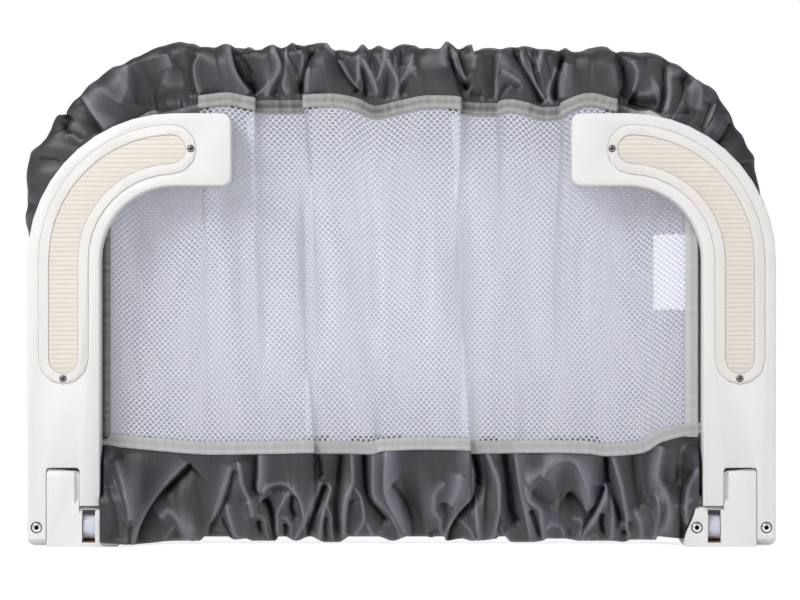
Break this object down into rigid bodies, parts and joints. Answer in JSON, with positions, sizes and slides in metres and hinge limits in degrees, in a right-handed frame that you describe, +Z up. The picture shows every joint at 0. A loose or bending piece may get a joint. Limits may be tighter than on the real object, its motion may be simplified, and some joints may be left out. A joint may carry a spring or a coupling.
{
  "type": "folding bed guard rail",
  "caption": "Folding bed guard rail: gathered satin cover and netting on a telescoping tube frame, with hinged J-shaped plastic arms carrying ribbed grip pads.",
  "frame": {"origin": "middle of the rail's footprint, on the floor under the hinge blocks", "axes": "+X along the rail, towards the half that slides out; +Y away from the bed side, out through the back of the panel; +Z up"},
  "size_m": [0.674, 0.0776, 0.453],
  "materials": {
    "arm_plastic": "satin moulded",
    "trim_plastic": "satin moulded",
    "grip_rubber": "matt ribbed",
    "hub_plastic": "satin moulded",
    "zinc_steel": "zinc plated",
    "chrome_steel": "polished",
    "spring_bronze": "dull rolled",
    "tube_steel": "powder coated grey",
    "satin_cloth": "dark grey satin weave",
    "binding_tape": "ribbed tape",
    "netting": "white knitted net",
    "label_cloth": "blank woven label"
  },
  "bodies": {
    "left_frame": {"left_hinge_block": "arm_plastic", "left_detent_spring": "spring_bronze", "left_tube_bolt": "chrome_steel", "left_side_cover": "satin_cloth", "left_side_binding_front": "binding_tape", "left_side_binding_back": "binding_tape", "left_corner_tube": "tube_steel", "left_lower_tube": "tube_steel", "top_glide_collar": "hub_plastic", "lower_glide_collar": "hub_plastic", "top_cover": "satin_cloth", "skirt_cover": "satin_cloth", "front_net": "netting", "back_net": "netting", "top_binding_front": "binding_tape", "top_binding_back": "binding_tape", "lower_binding_front": "binding_tape", "lower_binding_back": "binding_tape"},
    "right_frame": {"right_hinge_block": "arm_plastic", "right_detent_spring": "spring_bronze", "right_tube_bolt": "chrome_steel", "right_side_cover": "satin_cloth", "right_side_binding_front": "binding_tape", "right_side_binding_back": "binding_tape", "right_corner_tube": "tube_steel", "right_lower_tube": "tube_steel", "top_inner_tube": "zinc_steel", "lower_inner_tube": "zinc_steel", "top_snap_clip": "zinc_steel", "lower_snap_clip": "zinc_steel", "care_label": "label_cloth"},
    "left_arm": {"left_arm_shell": "arm_plastic", "left_pad_frame": "trim_plastic", "left_grip_pad": "grip_rubber", "left_pad_screw_lower": "zinc_steel", "left_pad_screw_upper": "zinc_steel", "left_hinge_axle": "zinc_steel", "left_axle_bolt": "chrome_steel", "left_hinge_hub": "hub_plastic"},
    "right_arm": {"right_arm_shell": "arm_plastic", "right_pad_frame": "trim_plastic", "right_grip_pad": "grip_rubber", "right_pad_screw_lower": "zinc_steel", "right_pad_screw_upper": "zinc_steel", "right_hinge_axle": "zinc_steel", "right_axle_bolt": "chrome_steel", "right_hinge_hub": "hub_plastic"}
  },
  "joints": [
    {"name": "extend", "type": "slide", "parent": "left_frame", "child": "right_frame", "axis": [1, 0, 0], "range_m": [0, 0.22], "deforming": ["top_cover", "skirt_cover", "front_net", "back_net", "top_binding_front", "top_binding_back", "lower_binding_front", "lower_binding_back"]},
    {"name": "left_arm_fold", "type": "hinge", "parent": "left_frame", "child": "left_arm", "pos_m": [-0.305, -0.024, 0.0175], "axis": [1, 0, 0], "range_deg": [0, 90]},
    {"name": "right_arm_fold", "type": "hinge", "parent": "right_frame", "child": "right_arm", "pos_m": [0.305, -0.024, 0.0175], "axis": [1, 0, 0], "range_deg": [0, 90]}
  ]
}
